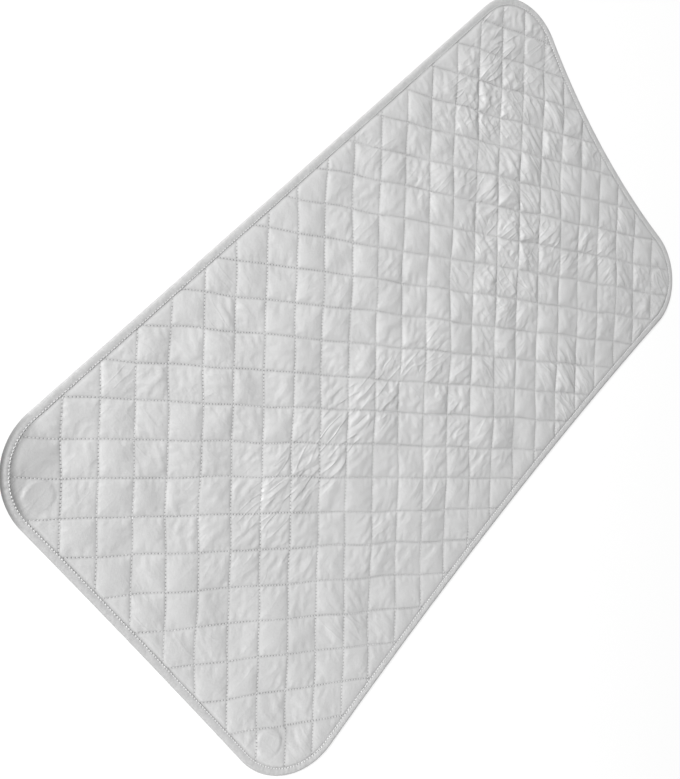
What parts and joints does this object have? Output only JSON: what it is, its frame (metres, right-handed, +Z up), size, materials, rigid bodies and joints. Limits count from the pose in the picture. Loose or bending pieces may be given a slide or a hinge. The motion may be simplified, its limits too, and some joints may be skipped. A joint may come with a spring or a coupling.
{
  "type": "ironing pad",
  "caption": "Flat quilted ironing pad, a round-cornered rectangle with a silvered diagonal-quilted top, taped edge and magnets in its corners, laid on a table to iron on.",
  "frame": {"origin": "middle of the pad's bounding box in plan, on the flat underside", "axes": "+X along the length, towards the end whose edge is drawn in most; +Y along the width, towards the straighter long edge; +Z up, out of the quilted face"},
  "size_m": [0.84, 0.465, 0.0065],
  "materials": {
    "silver_cloth": "satin silvered heat-proof cloth, quilted",
    "wadding_felt": "soft matt felt",
    "backing_cloth": "plain matt woven cloth",
    "binding_tape": "fine matt woven tape",
    "thread": "twisted sewing thread",
    "ferrite": "dull pressed ferrite"
  },
  "bodies": {
    "root": {"backing": "backing_cloth", "wadding": "wadding_felt", "top_cover": "silver_cloth", "edge_binding": "binding_tape", "binding_thread": "thread", "magnet_left_back": "ferrite", "magnet_left_front": "ferrite", "magnet_right_front": "ferrite", "magnet_right_back": "ferrite", "quilt_thread_rising_01": "thread", "quilt_thread_rising_02": "thread", "quilt_thread_rising_03": "thread", "quilt_thread_rising_04": "thread", "quilt_thread_rising_05": "thread", "quilt_thread_rising_06": "thread", "quilt_thread_rising_07": "thread", "quilt_thread_rising_08": "thread", "quilt_thread_rising_09": "thread", "quilt_thread_rising_10": "thread", "quilt_thread_rising_11": "thread", "quilt_thread_rising_12": "thread", "quilt_thread_rising_13": "thread", "quilt_thread_rising_14": "thread", "quilt_thread_rising_15": "thread", "quilt_thread_rising_16": "thread", "quilt_thread_rising_17": "thread", "quilt_thread_rising_18": "thread", "quilt_thread_rising_19": "thread", "quilt_thread_rising_20": "thread", "quilt_thread_rising_21": "thread", "quilt_thread_rising_22": "thread", "quilt_thread_rising_23": "thread", "quilt_thread_rising_24": "thread", "quilt_thread_falling_01": "thread", "quilt_thread_falling_02": "thread", "quilt_thread_falling_03": "thread", "quilt_thread_falling_04": "thread", "quilt_thread_falling_05": "thread", "quilt_thread_falling_06": "thread", "quilt_thread_falling_07": "thread", "quilt_thread_falling_08": "thread", "quilt_thread_falling_09": "thread", "quilt_thread_falling_10": "thread", "quilt_thread_falling_11": "thread", "quilt_thread_falling_12": "thread", "quilt_thread_falling_13": "thread", "quilt_thread_falling_14": "thread", "quilt_thread_falling_15": "thread", "quilt_thread_falling_16": "thread", "quilt_thread_falling_17": "thread", "quilt_thread_falling_18": "thread", "quilt_thread_falling_19": "thread", "quilt_thread_falling_20": "thread", "quilt_thread_falling_21": "thread", "quilt_thread_falling_22": "thread", "quilt_thread_falling_23": "thread"}
  },
  "joints": []
}
